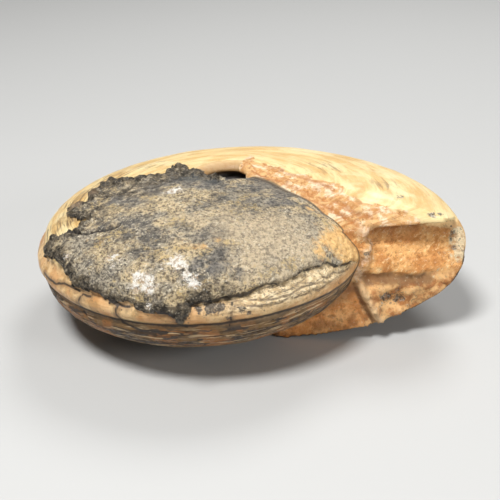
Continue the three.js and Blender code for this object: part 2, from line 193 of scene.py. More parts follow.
STRIP_LINES = [
    [(2.4, -24.1), (4.1, -24), (5.6, -23.9), (7.7, -23.2), (9.1, -22.5), (11.4, -21.6), (13.1, -20.9)],
    [(7.8, -22.6), (8.5, -22.5), (9.2, -22.1), (10.9, -21.7)],
    [(0.2, -24.6), (0.9, -24.4), (1.9, -24.4), (3.3, -24.5), (5, -24.4), (6.3, -24.1), (7.3, -23.6)],
    [(12.6, -20.6), (13.6, -20.3), (14.6, -19.4), (15.8, -18.9), (16.9, -18.3), (17.8, -17.4)],
    [(8.4, -23.4), (9.8, -22.9), (11, -22.2), (12.2, -22), (13.6, -20.9)],
]
FOOT_HOLLOWS = [
    (25.9, -13.9, 1.7, 0.8), (26.4, -12.7, 1.2, 0.6), (24, -12.4, 1.6, 0.6), (22.6, -15, 1.2, 0.6),
    (27, -11.4, 1.4, 0.4), (24.9, -18.2, 1.5, 0.5),
]
FOOT_SWELLS = [
    (24.9, -12.9, 1.1, 0.6), (25.5, -11.4, 1.4, 0.5), (25.6, -15.4, 1.2, 0.5), (26.3, -10, 1.4, 0.4),
    (19.1, -11.2, 1, 0.6), (20.7, -13, 1, 0.5), (27.3, -13.4, 1.2, 0.4), (21.8, -14, 0.9, 0.4),
]
DARK_MARGIN_SPOTS = [
    (20.5, -5.2, 0.9, 1), (21.3, -7.2, 0.8, 1), (21.8, -6.6, 0.8, 0.9), (24, -5.8, 0.8, 0.9),
    (20.9, -13.2, 0.6, 0.9), (25.7, -14.2, 1.4, 0.9), (26.3, -13, 1.3, 0.8), (25.3, -12.6, 1, 0.7),
    (24.6, -6.6, 0.6, 0.7),
]
PALE_MARGIN_SPOTS = [
    (24.3, -6, 1.6, 0.8), (25, -7.3, 1.6, 0.7), (23, -5.3, 1.4, 0.5), (25.3, -9, 1.4, 0.4),
]
GROOVE_LINE = [
    (22.4, -15.1), (23.3, -14.7), (23.8, -13.6), (24.4, -12.8), (25, -11.9), (25.3, -10.8), (25.6, -10),
]
SPUR = [(19.2, -11.9), (20.4, -11.2), (21, -12.2), (21.4, -13.6), (22, -15), (22.8, -16.3)]
FOOT_RIDGE = [(22.8, -16.3), (23.8, -16.4), (25.2, -16.3), (26.5, -16.1), (27.6, -15.4)]
FOOT_STEP = [(22.6, -16.9), (23.6, -17.1), (25, -17), (26.4, -16.8), (27.6, -16.2)]


def break_plane(a, b, c):
    """A plane of the break through three points, as seen from the hub: normal and reach."""
    a, b, c = np.array(a), np.array(b), np.array(c)
    normal = np.cross(b - a, c - a)
    normal = normal / np.linalg.norm(normal)
    reach = normal @ (a - HUB)
    return (normal, reach) if reach > 0 else (-normal, -reach)


def ray_sheet(a, b, side):
    """The normal, looking to one side, of a sheet of rays from the hub through two points."""
    normal = np.cross(np.array(a) - HUB, np.array(b) - HUB)
    normal = normal / np.linalg.norm(normal)
    return normal if normal @ np.array(side) > 0 else -normal


TOP_FACES = [
    break_plane((5.4, 11.9, 8.8), (8.9, 1.1, 8.25), (15.2, 5.2, 8.6)),
    break_plane((11.05, -1.76, 8.0), (15.5, -6.1, 6.5), (24.0, -2.0, 7.5)),
    break_plane((16.26, -6.84, 6.1), (18.6, -8.3, 4.1), (34.4, -6.7, 4.1)),
]
SEAM_FACE = break_plane((4.8, 3.0, 8.5), (5.4, 12.0, 8.5), (4.8, 3.0, 0))
LEDGE = ray_sheet((19.5, -8.3, 4.2), (35.0, -6.3, 3.9), (0, 0, 1))
HOLLOW_FACE = break_plane((36.8, -5.2, -2.2), (20.5, -8.6, -1.5), (28.5, -4.6, 3.0))
SPUR_FACE = break_plane((19.3, -8.7, 4.4), (20.6, -8.8, -2.0), (25.0, -8.2, 2.0))
SPUR_SIDE = ray_sheet((23.4, -8.1, 4.3), (22.6, -8.9, -2.5), (-1, 0, 0))
SPUR_BLEND = 0.055
SPUR_RAGGEDNESS = 0.10
SCOOP_DEPTH = 0.5
SCOOP_SWELL = 0.5
SCOOP_RAGGEDNESS = 0.08
GROOVE = ray_sheet((20.5, -9.4, -4.0), (36.0, -6.6, -4.2), (0, 0, 1))
GROOVE_DEPTH = 1.0
GROOVE_WIDTH = 0.035
GROOVE_RAGGEDNESS = 0.035
FOOT_FACES = [
    break_plane((36.4, -6.7, -3.4), (29.8, -7.5, -9.0), (20.0, -9.9, -4.0)),
    break_plane((20.0, -9.6, -6.0), (24.2, -9.1, -11.0), (14.1, -8.6, -12.7)),
    break_plane((8.5, -8.7, -12.7), (-1.0, 3.0, -12.7), (8.0, -9.1, 0.0)),
]


# small helpers

def smooth_min(a, b, width):
    h = np.clip(0.5 + 0.5 * (b - a) / width, 0, 1)
    return b * (1 - h) + a * h - width * h * (1 - h)


def smooth_max(a, b, width):
    return -smooth_min(-a, -b, width)


def hill(offset, width):
    return np.exp(-(offset / width) ** 2)


def ramp(x, low, high):
    t = np.clip((x - low) / (high - low), 0, 1)
    return t * t * (3 - 2 * t)


# noise on points

def hashed(cell, seed):
    """An even random number from 0 to 1 for each cell of a lattice."""
    n = cell[..., 0] * 73856093 ^ cell[..., 1] * 19349663 ^ cell[..., 2] * 83492791 ^ seed * 2654435761
    n = (n ^ (n >> 13)) * 1274126177 & 0x7FFFFFFF
    n = (n ^ (n >> 11)) * 668265263 & 0x7FFFFFFF
    n = n ^ (n >> 15)
    return (n & 0xFFFFF) / float(0xFFFFF)


def lattice_noise(points, size, seed):
    q = points / size
    cell = np.floor(q).astype(np.int64)
    f = q - cell
    f = f * f * (3 - 2 * f)
    total = 0
    for corner in np.ndindex(2, 2, 2):
        weight = 1
        for axis in range(3):
            weight = weight * (f[..., axis] if corner[axis] else 1 - f[..., axis])
        total = total + weight * hashed(cell + np.array(corner), seed)
    return 2 * total - 1


def rough_noise(points, size, seed, octaves=4, keep=0.5):
    total, height, most = 0, 1.0, 0
    for octave in range(octaves):
        total = total + height * lattice_noise(points, size, seed + 17 * octave)
        most += height
        size *= 0.5
        height *= keep
    return total / most


def cells(points, size, seed):
    """Distance to the nearest of scattered middles, in sizes, and a tilted-plane height round it."""
    q = points / size
    base = np.floor(q).astype(np.int64)
    nearest = np.full(q.shape[:-1], 9.0)
    tilt = np.zeros(q.shape[:-1])
    for step in np.ndindex(3, 3, 3):
        cell = base + np.array(step) - 1
        middle = cell + np.stack([hashed(cell, seed + k) for k in (1, 2, 3)], -1)
        offset = q - middle
        distance = np.sqrt((offset ** 2).sum(-1))
        lean = np.stack([hashed(cell, seed + k) for k in (4, 5, 6)], -1) - 0.5
        closer = distance < nearest
        tilt = np.where(closer, (lean * offset).sum(-1) + 0.5 * (hashed(cell, seed + 7) - 0.5), tilt)
        nearest = np.where(closer, distance, nearest)
    return nearest, tilt


# the coil and the break

def coil_radius(turn):
    return MOUTH_RADIUS * GROWTH_PER_TURN ** (turn / (2 * math.pi) - 1)


def flank_shape(turn, latitude):
    up = latitude >= 0
    pick = {key: np.where(up, UPPER_FLANK[key], LOWER_FLANK[key]) for key in UPPER_FLANK}
    half = pick["half"] + pick["change"] * (turn - math.pi) / math.pi
    half = half + pick["sag"] * hill(turn - SAG_TURN, SAG_WIDTH)
    n = pick["square"]
    return (np.cos(latitude) ** n + (np.abs(np.sin(latitude)) / half) ** n) ** (-1 / n)


def keel_relief(z, latitude, turn):
    tip = 1 - ramp(turn, 0.55, 1.3)
    width = KEEL_HALF_WIDTH * (1 + TIP_WIDENING * tip)
    ridge = np.exp(-(np.abs(z) / width) ** 2.6) - hill(z, np.where(z > 0, 5.0, 3.5))
    furrow = hill(z + FURROW_BELOW, FURROW_HALF_WIDTH) + 0.35 * hill(z - FURROW_BELOW, FURROW_HALF_WIDTH)
    fade = np.clip(2 * np.cos(latitude) - 0.6, 0, 1) * (1 - 0.8 * ramp(turn, 5.4, 6.1))
    return (KEEL_HEIGHT * ridge - FURROW_DEPTH * furrow * (1 - tip)) * fade


def turn_of(points, last_turn):
    turn = np.arctan2(-points[..., 1], points[..., 0])
    turn = np.where(turn < 0, turn + 2 * math.pi, turn)
    if last_turn:
        return np.where(turn < LAST_TURN_START, turn + 2 * math.pi, turn)
    return np.where(turn > 1.5 * math.pi, turn - 2 * math.pi, turn)


def to_shell(ray, last_turn):
    s = np.full(ray.shape[:-1], FIRST_REACH)
    for _ in range(REACH_STEPS):
        p = HUB + s[..., None] * ray
        turn = turn_of(p, last_turn)
        latitude = np.arctan2(p[..., 2], np.hypot(p[..., 0], p[..., 1]))
        wanted = coil_radius(turn) * flank_shape(turn, latitude) + keel_relief(p[..., 2], latitude, turn)
        s = s * wanted / np.sqrt((p ** 2).sum(-1))
    return s


def to_plane(ray, plane):
    along = ray @ plane[0]
    return np.where(along > 1e-4, plane[1] / np.maximum(along, 1e-4), BEYOND)


def to_nearest_plane(ray, planes, width):
    s = to_plane(ray, planes[0])
    for plane in planes[1:]:
        s = smooth_min(s, to_plane(ray, plane), width)
    return s


def to_break(ray):
    ragged = SPUR_RAGGEDNESS * rough_noise(ray, 0.16, 81, 3)
    wavy = SCOOP_RAGGEDNESS * rough_noise(ray, 0.22, 83, 3)
    groove = ray @ GROOVE + GROOVE_RAGGEDNESS * rough_noise(ray, 0.18, 85, 3)
    seam = np.where(ray[..., 1] > 0, to_plane(ray, SEAM_FACE), 0)
    top = np.maximum(to_nearest_plane(ray, TOP_FACES, 2 * ROUNDING), seam)
    foot = to_nearest_plane(ray, FOOT_FACES, ROUNDING) - GROOVE_DEPTH * hill(groove, GROOVE_WIDTH)
    below = -(ray @ LEDGE)
    hollow = to_plane(ray, HOLLOW_FACE) - SCOOP_DEPTH * hill(below + wavy - 0.06, 0.06)
    hollow = hollow + SCOOP_SWELL * hill(below + wavy - 0.22, 0.06)
    spur = np.maximum(to_plane(ray, SPUR_FACE), hollow)
    hollow = hollow + (spur - hollow) * ramp(ray @ SPUR_SIDE + ragged, -SPUR_BLEND, SPUR_BLEND)
    under = smooth_min(hollow, foot, 2 * ROUNDING)
    return np.where(ray @ LEDGE > 0, top, np.where(groove > 0, under, foot))


def pit_rim(azimuth, elevation):
    """Elevation of the rim of a pit. Crust fills the near side of the upper one."""
    filled = NEAR_FILL * np.clip(np.cos(azimuth - NEAR_SIDE), 0, 1) ** 0.7
    upper = UPPER_PIT_ANGLE - filled + FAR_WIDENING * (0.5 + 0.5 * np.cos(azimuth - FAR_SIDE))
    return math.pi / 2 - np.where(elevation > 0, upper, LOWER_PIT_ANGLE)


def lip(azimuth, elevation):
    """A roll of shell round the far side of the upper pit, and a low swelling of crust on its near side."""
    far_side = np.clip(1.2 * np.cos(azimuth - LIP_MIDDLE) + 0.4, 0, 1)
    near_side = np.clip(np.cos(azimuth - NEAR_SIDE), 0, 1)
    outside = pit_rim(azimuth, elevation) - LIP_OFFSET - elevation
    height = LIP_HEIGHT * far_side * hill(outside, 0.1) + NEAR_LIP_HEIGHT * near_side * hill(outside, 0.16)
    return np.where(elevation > 0, height, 0)


def ray_of(azimuth, elevation):
    flat = np.cos(elevation)
    return np.stack([flat * np.cos(azimuth), -flat * np.sin(azimuth), np.sin(elevation)], -1)


def surface(azimuth, elevation):
    """Reach of each ray from the hub, and what it meets there."""
    ray = ray_of(azimuth, elevation)
    shell = to_shell(ray, False)
    last = to_shell(ray, True)
    broken = to_break(ray)
    first, end = LAST_TURN_SECTOR
    sector = (azimuth > first) & (azimuth < np.where(elevation > 0, end, LAST_TURN_END_BELOW))
    whole = broken > last + ROUNDING
    edge = ROUNDING + 0.7 * ramp(ray @ LEDGE, 0.0, 0.03)
    joined = smooth_max(shell, smooth_min(last, broken, edge), ROUNDING)
    s = np.where(sector, np.where(whole, np.maximum(shell, last), joined), shell)
    s = s + lip(azimuth, elevation)
    rim = pit_rim(azimuth, elevation)
    wall = 1 / (1 + np.exp(np.clip(-(np.abs(elevation) - rim) / WALL_SOFTNESS, -60, 60)))
    facts = {
        "over": np.where(sector, np.minimum(last, broken) - shell, -3.0),
        "inset": np.where(sector, last - broken, -3.0),
        "outer": sector & (np.minimum(last, broken) > shell),
        "pit": wall, "depth": (s - PIT_FLOOR) * wall,
    }
    s = s * (1 - wall) + PIT_FLOOR * wall
    return ray, s, facts


def curl_far_rim(points, azimuth, elevation, facts):
    """The shell curls in over the far side of the upper pit, like a roll, with a hollow under it."""
    far_side = np.clip(1.8 * np.cos(azimuth - FAR_SIDE) + 0.9, 0, 1) * (elevation > 0)
    depth = facts["depth"]
    inward = ROLL_OVERHANG * np.sin(math.pi * np.clip(depth / ROLL_THICKNESS, 0, 1))
    outward = ROLL_HOLLOW * ramp(depth, 0.8 * ROLL_THICKNESS, 1.25 * ROLL_THICKNESS)
    outward = outward * ramp(-depth, -4.2, -3.4)
    flat = np.stack([np.cos(azimuth), -np.sin(azimuth), 0 * azimuth], -1)
    return points + (far_side * (outward - inward))[..., None] * flat


# the grid of rays

def even_steps(first, last, count, weigh):
    place = np.linspace(first, last, 3001)
    total = np.concatenate([[0], np.cumsum(weigh(place[:-1], place[1:]))])
    return np.interp(np.linspace(0, total[-1], count), total, place)


def lengths(azimuth_a, elevation_a, azimuth_b, elevation_b):
    ray_a, s_a, _ = surface(azimuth_a, elevation_a)
    ray_b, s_b, _ = surface(azimuth_b, elevation_b)
    a = HUB + s_a[:, None] * ray_a
    b = HUB + s_b[:, None] * ray_b
    return np.sqrt(((a - b) ** 2).sum(-1)), a


def row_elevations():
    def weigh(low, high):
        near, far = np.full_like(low, 1.9), np.full_like(low, FAR_SIDE)
        length, at = lengths(near, low, near, high)
        far_length = lengths(far, low, far, high)[0]
        length = np.where(low > FIRST_SHIFTED_ROW, far_length, (length + far_length) / 2)
        under = 0.35 + 0.65 * ramp(low, -0.75, -0.5)
        return np.minimum(length, 0.1) * under * (1 + 1.1 * hill(at[:, 2] + 0.5, 4.0))
    return even_steps(-LAST_ROW, LAST_ROW, ROWS, weigh)


def follow_rim(elevation, azimuth):
    """Rows near the upper pit shift, so that its rim, which isn't level, runs along one row."""
    level = pit_rim(np.array(FAR_SIDE), np.array(1.0))
    rim = pit_rim(azimuth, np.ones_like(azimuth))
    first, last = FIRST_SHIFTED_ROW, LAST_ROW
    below = first + (elevation - first) * (rim - first) / (level - first)
    above = last - (last - elevation) * (last - rim) / (last - level)
    return np.where(elevation < first, elevation, np.where(elevation < level, below, above))


def column_azimuths():
    def weigh(low, high):
        level = np.full_like(low, 0.02)
        length, _ = lengths(low, level, high, level)
        front = 1 + 1.2 * ramp(np.sin(low + 0.15), -0.3, 0.3)
        return np.minimum(length, 0.15) * (front + 1.4 * hill(low - 0.4, 0.3))
    return even_steps(-math.pi, math.pi, COLUMNS + 1, weigh)[:-1]


def follow_ledge(elevation, azimuth):
    """The two rows beside the ledge follow its edge, which is a little uneven."""
    column = azimuth[0]
    place = np.stack([column * 14, column * 0, column * 0], -1)
    edge = np.arctan(-(LEDGE[0] * np.cos(column) - LEDGE[1] * np.sin(column)) / LEDGE[2])
    edge = edge + 0.015 * rough_noise(place, 1.8, 5, 3)
    for j in np.nonzero(np.cos(column - 0.21) > 0.86)[0]:
        above = int(np.argmax(elevation[:, j] > edge[j]))
        elevation[above - 1, j] = edge[j] - 0.0005
        elevation[above, j] = edge[j] + 0.0005
    return elevation


# places given on the flat map

def on_map(points):
    """Where points lie on the flat map."""
    away = points - HUB
    flat = np.hypot(away[..., 0], away[..., 1])
    r = MAP_RADIUS * (1 - np.arctan2(away[..., 2], flat) / (math.pi / 2))
    return r * away[..., 0] / flat, r * away[..., 1] / flat


def from_map(listed):
    """Points on the fossil for places on the flat map."""
    u, v = np.array(listed, float).T
    elevation = (math.pi / 2) * (1 - np.hypot(u, v) / MAP_RADIUS)
    ray, s, _ = surface(np.arctan2(-v, u), elevation)
    return HUB + s[:, None] * ray


def to_line(points, line):
    """Distance to a line of the flat map, laid on the fossil."""
    fine = [line[0]]
    for (u0, v0), (u1, v1) in zip(line[:-1], line[1:]):
        parts = int(math.hypot(u1 - u0, v1 - v0) / 1.2) + 1
        fine += [(u0 + (u1 - u0) * k / parts, v0 + (v1 - v0) * k / parts) for k in range(1, parts + 1)]
    corners = from_map(fine)
    nearest = np.full(points.shape[:-1], 99.0)
    for a, b in zip(corners[:-1], corners[1:]):
        span = b - a
        t = np.clip((points - a) @ span / max(span @ span, 1e-9), 0, 1)
        away = points - a - t[..., None] * span
        nearest = np.minimum(nearest, (away ** 2).sum(-1))
    return np.sqrt(nearest)


def to_lines(points, lines):
    nearest = to_line(points, lines[0])
    for line in lines[1:]:
        nearest = np.minimum(nearest, to_line(points, line))
    return nearest


def inside_outline(points, outline):
    """Distance inside an outline of the flat map, less than nothing outside it."""
    ring = outline + outline[:1]
    u, v = on_map(points)
    inside = np.zeros(u.shape, bool)
    for (u0, v0), (u1, v1) in zip(ring[:-1], ring[1:]):
        if v0 != v1:
            inside ^= ((v0 > v) != (v1 > v)) & (u < u0 + (u1 - u0) * (v - v0) / (v1 - v0))
    distance = to_line(points, ring)
    return np.where(inside, distance, -distance)


def spots(points, listed):
    total = np.zeros(points.shape[:-1])
    middles = from_map([spot[:2] for spot in listed])
    for middle, (_, _, radius, strength) in zip(middles, listed):
        away = ((points - middle) ** 2).sum(-1)
        total = np.maximum(total, strength * np.exp(-away / radius ** 2))
    return total


def warped(points, size, amount, seed):
    shift = [rough_noise(points, size, seed + 100 * k, 3) for k in range(3)]
    return points + amount * np.stack(shift, -1)


# the relief: how far each point stands out, and the masks that the material reads

def domes(points, size, seed):
    """Round knobs of this size, close together."""
    nearest, _ = cells(points, size, seed)
    return np.sqrt(np.clip(1 - (nearest / DOME_RADIUS) ** 2, 0, 1))


def crust_relief(points, facts, masks):
    """A granular crust: a step at its ragged edge, knobs where it is dark, a smooth tongue by the pit."""
    inside = inside_outline(warped(points, 1.6, 0.75, 21), CRUST_OUTLINE)
    inside = np.where(points[..., 2] > -3.0, inside, -9.0)
    crust = ramp(inside, -0.15, 0.2)
    dark = spots(warped(points, 2.0, 0.8, 24), DARK_SPOTS)
    smooth = spots(warped(points, 2.0, 0.5, 25), SMOOTH_SPOTS)
    knob = domes(points, 1.25, 31)
    bead = domes(points, 0.6, 33)
    u, v = on_map(points)
    dark = np.maximum(dark, hill(inside - 0.4, 1.3) * ramp(-u, -0.5, 3.0))
    knobby = ramp(dark, 0.25, 0.75) * ramp(-inside, -3.4, -0.8)
    front = ramp(-points[..., 1], 6.0, 12.0) * ramp(-inside, -5.0, -1.5)
    grain = rough_noise(points, 0.8, 41, 3, 0.65)
    swell = rough_noise(points, 4.5, 43, 3)
    coarse = 1 - 0.7 * ramp(u, -4.0, 6.0)
    lumps = rough_noise(points, 1.8, 44, 3)
    rough = KNOB_HEIGHT * knob * (knobby + 0.4 * front) + 0.13 * bead * (0.5 * coarse + front + knobby)
    rough = rough + (0.08 + 0.12 * coarse) * grain + 0.2 * (front + 0.6 * coarse) * lumps
    off_keel = ramp(-np.hypot(u, v), -22.5, -19.5)
    edge_swell = 0.2 * hill(inside - 0.8, 0.7) * ramp(-u, -1.0, 4.0) * off_keel
    rough = rough * (0.75 + 0.25 * off_keel) + edge_swell
    masks.update(crust_cavity=rough * crust, dark=dark, smooth=smooth, knobby=knobby)
    thins = 0.15 + 0.85 * ramp(-facts["over"], 0.2, 2.2)
    return crust, thins * (CRUST_HEIGHT + rough * (1 - 0.85 * smooth) + 0.14 * swell)


def line_relief(points, masks):
    """Cracks in the crust and along its edge, and the sutures across the keel."""
    edge_crack = to_line(warped(points, 0.9, 0.35, 26), EDGE_CRACK)
    crust_crack = to_line(warped(points, 0.9, 0.3, 27), CRUST_CRACK)
    u, _ = on_map(points)
    # The line is wider at the front, where the crust's edge overhangs; the material paints its shadow along
    # it.
    edge_crack = edge_crack * (1 - 0.45 * hill(u - 0.5, 4.5))
    suture = to_lines(warped(points, 0.8, 0.16, 28), SUTURES)
    masks.update(edge_crack=edge_crack, crust_crack=crust_crack, suture=suture)
    return -0.36 * hill(edge_crack, 0.24) - 0.45 * hill(crust_crack, 0.35) - 0.14 * hill(suture, 0.22)


def shell_relief(points, azimuth, elevation, coil, masks):
    """Fine layers along the coil, rougher under the keel and on the strip in front of the crust."""
    spiral = rough_noise(coil / np.array([14.0, 1.1, 1.0]), 1.0, 51, 3)
    layers = rough_noise(coil / np.array([6.0, 0.55, 1.0]), 1.0, 53, 3)
    low = ramp(-points[..., 2], 1.5, 2.6)
    strip = ramp(elevation, -0.05, 0.03) * ramp(azimuth, 0.3, 0.6) * ramp(-azimuth, -1.9, -1.35)
    strip_line = to_lines(warped(points, 0.9, 0.22, 58), STRIP_LINES)
    worn = spots(warped(points, 1.5, 0.7, 59), WORN_SPOTS)
    masks.update(low=low, strip=strip, strip_line=strip_line, worn=worn)
    height = 0.04 * spiral + 0.12 * low * layers + 0.2 * strip * layers
    height = height + 0.08 * rough_noise(points, 3.2, 55, 3) + 0.05 * strip * rough_noise(points, 0.8, 57, 2)
    return height + 0.1 * worn * rough_noise(points, 1.2, 60, 3) - 0.16 * hill(strip_line, 0.25)


def stone_relief(points, ray, coil, facts, masks):
    """The broken face: streaky slope, fibrous hollow, a spur beside it, a blocky foot with a smooth facet."""
    above = ramp(ray @ LEDGE, 0, 0.01)
    foot = ramp(-(ray @ GROOVE), -0.02, 0.03)
    hollow = (1 - above) * (1 - foot)
    facet = foot * ramp(-points[..., 0], -22.0, -20.0)
    spur = to_line(warped(points, 1.6, 0.4, 62), SPUR)
    ridge = to_line(warped(points, 1.6, 0.3, 63), FOOT_RIDGE)
    dark = spots(warped(points, 0.8, 0.4, 64), DARK_MARGIN_SPOTS)
    pale = spots(warped(points, 1.2, 0.5, 65), PALE_MARGIN_SPOTS)
    _, chips = cells(points * np.array([1, 1, 1.3]), 2.7, 61)
    _, small_chips = cells(warped(points, 1.0, 0.3, 66), 1.1, 67)
    streaks = rough_noise(coil / np.array([6.5, 1.5, 1.0]), 1.0, 71, 4, 0.55)
    fibre = rough_noise(points * np.array([0.35, 1, 1.8]), 0.9, 73, 3)
    lumps = 0.7 * chips + 0.4 * small_chips + 0.2 * rough_noise(points, 1.2, 77, 3)
    height = above * (0.45 * chips + 0.62 * streaks + 0.32 * small_chips)
    height = height + hollow * (0.2 * chips + 0.16 * fibre + 0.14 * small_chips)
    height = height + foot * (1 - 0.75 * facet) * lumps
    near = warped(points, 1.4, 0.5, 69)
    groove = to_line(near, GROOVE_LINE)
    step = to_lines(warped(points, 1.4, 0.45, 68), SLOPE_LEDGES)
    foot_step = to_line(warped(points, 1.0, 0.25, 72), FOOT_STEP)
    height = height + (1 - above) * 0.3 * hill(spur, 1.2) - 0.4 * hill(step, 0.4) * above
    height = height + 0.8 * spots(near, FOOT_SWELLS) - 0.9 * spots(near, FOOT_HOLLOWS)
    height = height + 0.9 * hill(ridge, 0.7) - 0.35 * hill(groove, 0.8) - 0.5 * hill(foot_step, 0.4)
    height = height - 0.35 * ramp(dark, 0.4, 0.8)
    inside = inside_outline(warped(points, 2.0, 0.9, 70), STONE_OUTLINE)
    masks.update(hollow=hollow, foot=foot, facet=facet, step=step, foot_step=foot_step, below=1 - above,
                 spur=hill(spur, 1.4), ridge=hill(ridge, 0.7), groove=hill(groove, 1.1),
                 dark_margin=dark, pale_margin=pale, stone_in=np.clip(inside, -4, 4))
    # A band just under the ledge, which the material darkens as painted shade of the ledge, partly a brown
    # stain.
    masks["under"] = hollow * hill(-(ray @ LEDGE) - 0.02, 0.045)
    masks["cavity"] = 0.2 * small_chips + 0.25 * fibre
    return height * ramp(facts["over"], 0, 0.8) * ramp(facts["inset"], 0, 0.5)


def fossil_relief(points, azimuth, elevation, facts):
    masks = {}
    ray = ray_of(azimuth, elevation)
    turn = np.where(facts["outer"], turn_of(points, True), turn_of(points, False))
    latitude = np.arctan2(points[..., 2], np.hypot(points[..., 0], points[..., 1]))
    coil = np.stack([turn * COIL_LENGTHS[0], latitude * COIL_LENGTHS[1], 0 * turn], -1)
    stone = ramp(facts["over"], -0.05, 0.2) * ramp(facts["inset"], -0.05, 0.25)
    crust, crust_height = crust_relief(points, facts, masks)
    crust = crust * (1 - stone) * (1 - facts["outer"])
    lines = line_relief(points, masks)
    shell_height = shell_relief(points, azimuth, elevation, coil, masks)
    stone_height = stone_relief(points, ray, coil, facts, masks)
    height = crust * crust_height + (1 - stone) * (1 - facts["outer"]) * lines
    height = height + (1 - stone) * (1 - crust) * shell_height + stone * stone_height
    height = height * (1 - hill(np.minimum(facts["over"], facts["inset"] + 5), 0.25) * 0.6)
    height = height * (1 - facts["pit"])
    masks["white"] = spots(warped(points, 1.4, 0.6, 29), WHITE_SPOTS)
    masks["tan"] = spots(warped(points, 2.0, 0.7, 30), TAN_SPOTS)
    masks["pale"] = spots(points, PALE_SPOTS)
    masks["slate"] = spots(points, SLATE_SPOTS)
    masks["stain"] = spots(warped(points, 0.9, 0.4, 35), STAIN_SPOTS)
    masks["flake"] = spots(warped(points, 1.2, 0.4, 34), FLAKE_SPOTS)
    near_rim = elevation - pit_rim(azimuth, elevation)
    far_side = np.clip(1.6 * np.cos(azimuth - FAR_SIDE) + 0.6, 0, 1) * (elevation > 0)
    # The roll is tinted tan-orange and then brown towards the pit as painted shade on its underside.
    masks["roll"] = far_side * ramp(near_rim, -0.26, -0.08)
    masks["roll_underside_shade"] = far_side * ramp(near_rim, -0.11, 0.01)
    # The deep inside of the pit, which the material paints nearly black as shade.
    deep = ramp(facts["depth"], ROLL_THICKNESS * 0.9, ROLL_THICKNESS * 1.3) * (facts["pit"] > 0.02)
    masks.update(over=np.clip(facts["over"], -3, 6), inset=np.clip(facts["inset"], -3, 6),
                 outer=1.0 * facts["outer"], level=points[..., 2], on_crust=crust, deep=deep)
    return height, masks, coil


def grid_normals(points):
    across = np.roll(points, -1, axis=1) - np.roll(points, 1, axis=1)
    up = np.gradient(points, axis=0)
    normal = np.cross(up, -across)
    normal /= np.maximum(np.sqrt((normal ** 2).sum(-1, keepdims=True)), 1e-9)
    outward = np.sign((normal * (points - HUB)).sum(-1, keepdims=True))
    return normal * outward


def to_part_frame(p):
    x = p[..., 0] * math.cos(LEAN) - p[..., 2] * math.sin(LEAN)
    z = p[..., 0] * math.sin(LEAN) + p[..., 2] * math.cos(LEAN) - REST_HEIGHT
    q = np.stack([x, p[..., 1], z], -1) - CENTRE
    q[..., 2] = np.maximum(q[..., 2], 0)
    return q


def grid_faces():
    row, column = np.meshgrid(np.arange(ROWS - 1), np.arange(COLUMNS), indexing="ij")
    after = (column + 1) % COLUMNS
    quads = np.stack([row * COLUMNS + column, (row + 1) * COLUMNS + column,
                      (row + 1) * COLUMNS + after, row * COLUMNS + after], -1).reshape(-1, 4)
    faces = [tuple(quad) for quad in quads.tolist()]
    last_row = (ROWS - 1) * COLUMNS
    for j in range(COLUMNS):
        k = (j + 1) % COLUMNS
        faces.append((ROWS * COLUMNS, j, k))
        faces.append((ROWS * COLUMNS + 1, last_row + k, last_row + j))
    return faces


def add_mask(mesh, name, values, poles):
    layer = mesh.attributes.new(name, "FLOAT", "POINT")
    layer.data.foreach_set("value", np.concatenate([values.ravel(), poles]).astype(np.float32))


def make_fossil():
    azimuth, elevation = np.meshgrid(column_azimuths(), row_elevations())
    elevation = follow_ledge(follow_rim(elevation, azimuth), azimuth)
    ray, s, facts = surface(azimuth, elevation)
    points = HUB + s[..., None] * ray
    height, masks, coil = fossil_relief(points, azimuth, elevation, facts)
    points = points + height[..., None] * grid_normals(points)
    points = curl_far_rim(points, azimuth, elevation, facts)
    poles = HUB + PIT_FLOOR * np.array([[0, 0, -1.0], [0, 0, 1.0]])
    vertices = to_part_frame(np.concatenate([points.reshape(-1, 3), poles])) * 0.001
    mesh = bpy.data.meshes.new("ammonite")
    mesh.from_pydata(vertices.tolist(), [], grid_faces())
    mesh.update()
    mesh.polygons.foreach_set("use_smooth", np.ones(len(mesh.polygons), bool))
    for name, values in masks.items():
        add_mask(mesh, name, values, [values[0].mean(), values[-1].mean()])
    layer = mesh.attributes.new("coil", "FLOAT_VECTOR", "POINT")
    flat = np.concatenate([coil.reshape(-1, 3), coil[0, :1], coil[-1, :1]])
    layer.data.foreach_set("vector", flat.astype(np.float32).ravel())
    piece = bpy.data.objects.new("ammonite", mesh)
    bpy.context.scene.collection.objects.link(piece)
    return piece


# materials

